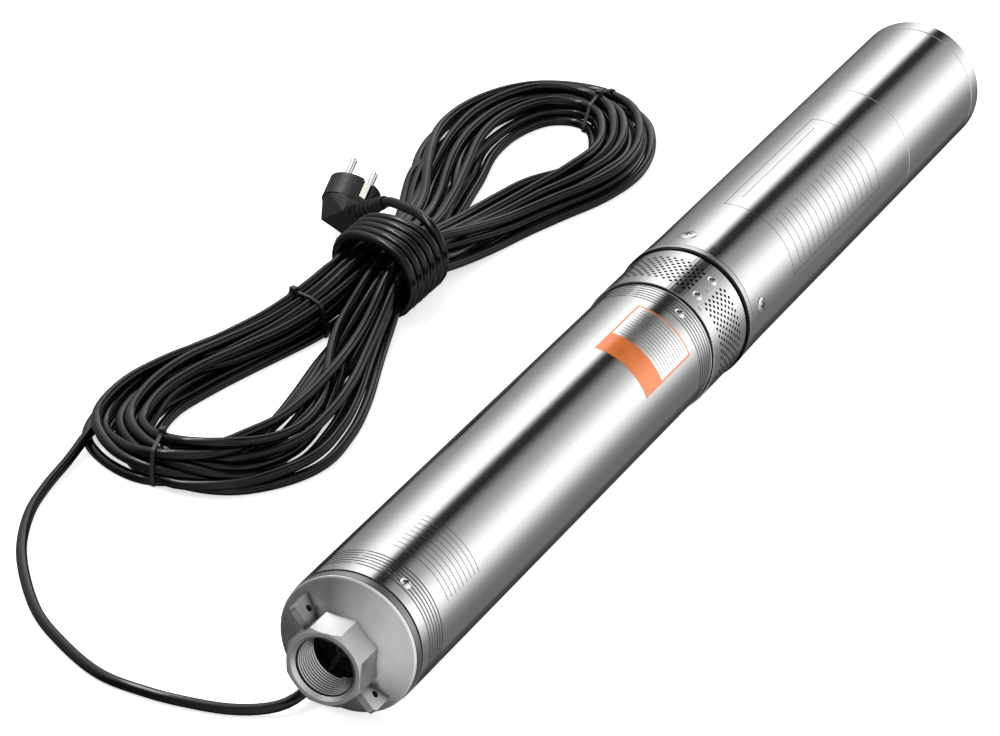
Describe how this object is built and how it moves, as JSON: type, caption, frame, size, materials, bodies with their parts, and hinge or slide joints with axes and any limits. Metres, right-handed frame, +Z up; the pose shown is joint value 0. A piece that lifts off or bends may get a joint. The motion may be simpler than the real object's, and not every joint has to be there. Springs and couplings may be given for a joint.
{
  "type": "borehole submersible pump",
  "caption": "Slim stainless borehole pump lying on its side: threaded outlet head with rope lugs, staged pump tube, perforated inlet, motor, and its cable tied in a hank with a plug.",
  "frame": {"origin": "on the surface the pump lies on, below its axis, midway between the outlet's mouth and the motor's end", "axes": "+X along the pump from the outlet to the motor end, +Z up, the tied cable lies on the +Y side"},
  "size_m": [0.971, 0.3789, 0.098],
  "materials": {
    "stainless_tube": "finely brushed",
    "stainless_sheet": "polished sheet",
    "stainless_casting": "satin casting, machined faces",
    "stainless_bar": "bright turned",
    "impeller_plastic": "moulded",
    "diffuser_plastic": "moulded",
    "seal_rubber": "moulded",
    "seal_ceramic": "lapped",
    "bearing_steel": "ground",
    "core_steel": "stacked laminations",
    "winding_copper": "enamelled wire",
    "brass": "turned",
    "capacitor_can": "moulded can",
    "cable_rubber": "smooth extruded rubber",
    "plug_plastic": "moulded",
    "contact_metal": "plated"
  },
  "bodies": {
    "housing": {"pump_casing": "stainless_tube", "motor_tube": "stainless_tube", "lower_housing": "stainless_tube", "end_cap": "stainless_tube", "strainer": "stainless_sheet", "cable_guard": "stainless_sheet", "discharge_head": "stainless_casting", "suction_bracket": "stainless_casting", "motor_head": "stainless_casting", "lower_bracket": "stainless_casting", "valve_spring": "stainless_bar", "valve_seat": "stainless_bar", "casing_screws": "stainless_bar", "strainer_screws": "stainless_bar", "motor_screws": "stainless_bar", "guard_screws": "stainless_bar", "diffuser_1": "diffuser_plastic", "diffuser_2": "diffuser_plastic", "diffuser_3": "diffuser_plastic", "diffuser_4": "diffuser_plastic", "diffuser_5": "diffuser_plastic", "diffuser_6": "diffuser_plastic", "diffuser_7": "diffuser_plastic", "diffuser_8": "diffuser_plastic", "top_bearing_spider": "diffuser_plastic", "valve_guide": "diffuser_plastic", "top_bearing_bush": "seal_rubber", "o_rings": "seal_rubber", "seal_seat": "seal_ceramic", "bearing_outer_rings": "bearing_steel", "stator_core": "core_steel", "stator_windings": "winding_copper", "capacitor": "capacitor_can", "motor_lead": "cable_rubber", "power_cord": "cable_rubber", "cord_hank": "cable_rubber", "hank_collar": "cable_rubber", "plug_body": "plug_plastic", "plug_boot": "plug_plastic", "cable_ties": "plug_plastic", "plug_contacts": "contact_metal"},
    "rotor": {"pump_shaft": "stainless_bar", "shaft_nut": "brass", "impeller_1": "impeller_plastic", "impeller_2": "impeller_plastic", "impeller_3": "impeller_plastic", "impeller_4": "impeller_plastic", "impeller_5": "impeller_plastic", "impeller_6": "impeller_plastic", "impeller_7": "impeller_plastic", "impeller_8": "impeller_plastic", "shaft_coupling": "stainless_bar", "sand_guard": "seal_rubber", "seal_ring": "seal_rubber", "bearing_inner_rings": "bearing_steel", "motor_shaft": "stainless_bar", "rotor_core": "core_steel"},
    "bearing_cages": {"bearing_balls": "bearing_steel"},
    "valve": {"valve_poppet": "seal_rubber"}
  },
  "joints": [
    {"name": "rotor_spin", "type": "hinge", "parent": "housing", "child": "rotor", "pos_m": [0, 0, 0.0489], "axis": [1, 0, 0], "continuous": true},
    {"name": "cage_spin", "type": "hinge", "parent": "housing", "child": "bearing_cages", "pos_m": [0, 0, 0.0489], "axis": [1, 0, 0], "continuous": true},
    {"name": "valve_lift", "type": "slide", "parent": "housing", "child": "valve", "axis": [-1, 0, 0], "range_m": [0, 0.008], "stiffness_N_per_m": 250, "springref_m": -0.005, "deforming": ["valve_spring"]}
  ],
  "couplings": [
    {"joint": "cage_spin", "follows": "rotor_spin", "ratio": 0.384}
  ]
}
